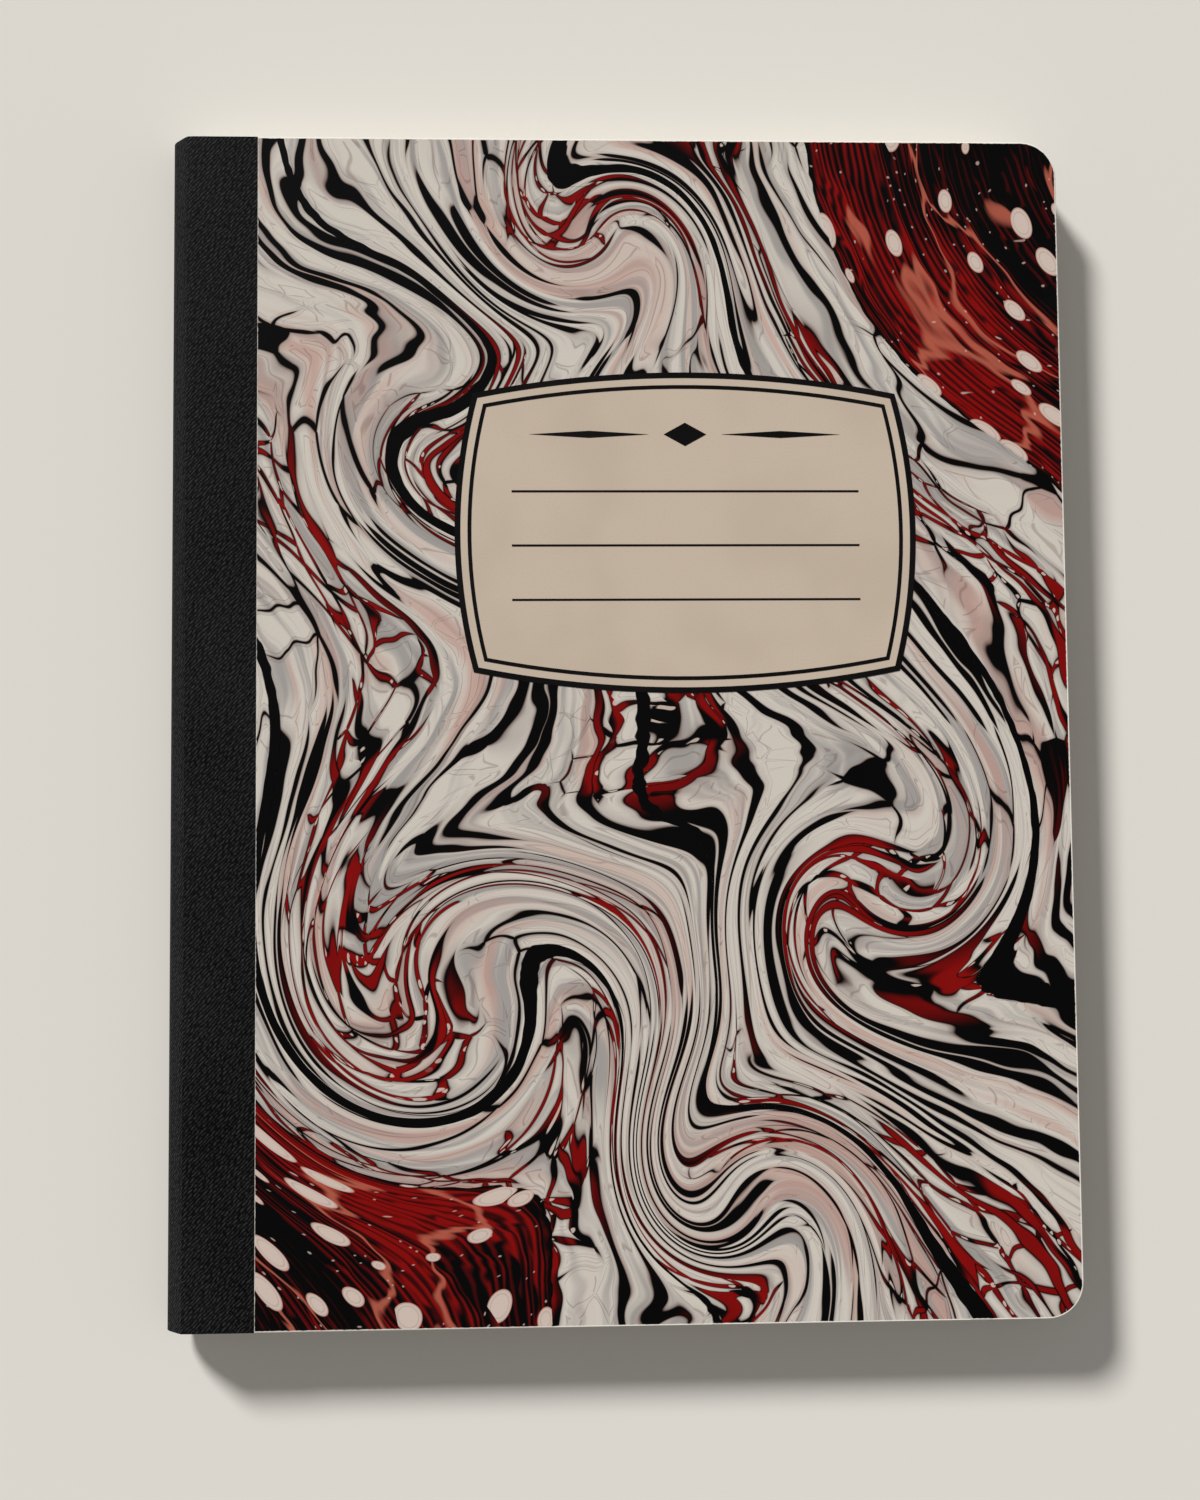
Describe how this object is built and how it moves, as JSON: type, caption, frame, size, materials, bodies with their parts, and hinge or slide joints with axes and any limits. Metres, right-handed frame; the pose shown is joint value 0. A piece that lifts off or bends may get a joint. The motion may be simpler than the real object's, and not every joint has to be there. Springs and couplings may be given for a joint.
{
  "type": "composition notebook",
  "caption": "Sewn notebook with stiff hinged covers, a wrapped cloth spine, marbled paper sides, round fore-edge corners and a bordered name label.",
  "frame": {"origin": "middle of the face that the closed notebook lies on", "axes": "+X from the spine to the fore edge, +Y from the tail to the head, +Z out of the front cover"},
  "size_m": [0.188, 0.2476, 0.0132],
  "materials": {
    "leaves": "uncoated writing paper",
    "thread": "waxed cotton thread",
    "book_cloth": "black twill book cloth, slight sheen",
    "board": "grey pasteboard",
    "lining_paper": "plain white lining paper",
    "cover_paper": "marbled printed paper, satin",
    "black_ink": "printed black",
    "red_ink": "printed dark red",
    "label_ink": "printed beige"
  },
  "bodies": {
    "text_block": {"page_block": "leaves", "sewing_thread": "thread", "spine_tape": "book_cloth"},
    "front_cover": {"front_board": "board", "front_lining": "lining_paper", "front_cover_paper": "cover_paper", "front_tape_strip": "book_cloth", "front_marbling_dark": "black_ink", "front_marbling_red": "red_ink", "label_ground": "label_ink", "label_print": "black_ink"},
    "back_cover": {"back_board": "board", "back_lining": "lining_paper", "back_cover_paper": "cover_paper", "back_tape_strip": "book_cloth", "back_marbling_dark": "black_ink", "back_marbling_red": "red_ink"}
  },
  "joints": [
    {"name": "front_hinge", "type": "hinge", "parent": "text_block", "child": "front_cover", "pos_m": [-0.0904, 0, 0.01324], "axis": [0, -1, 0], "range_deg": [0, 180]},
    {"name": "back_hinge", "type": "hinge", "parent": "text_block", "child": "back_cover", "pos_m": [-0.0904, 0, 0], "axis": [0, 1, 0], "range_deg": [0, 180]}
  ]
}
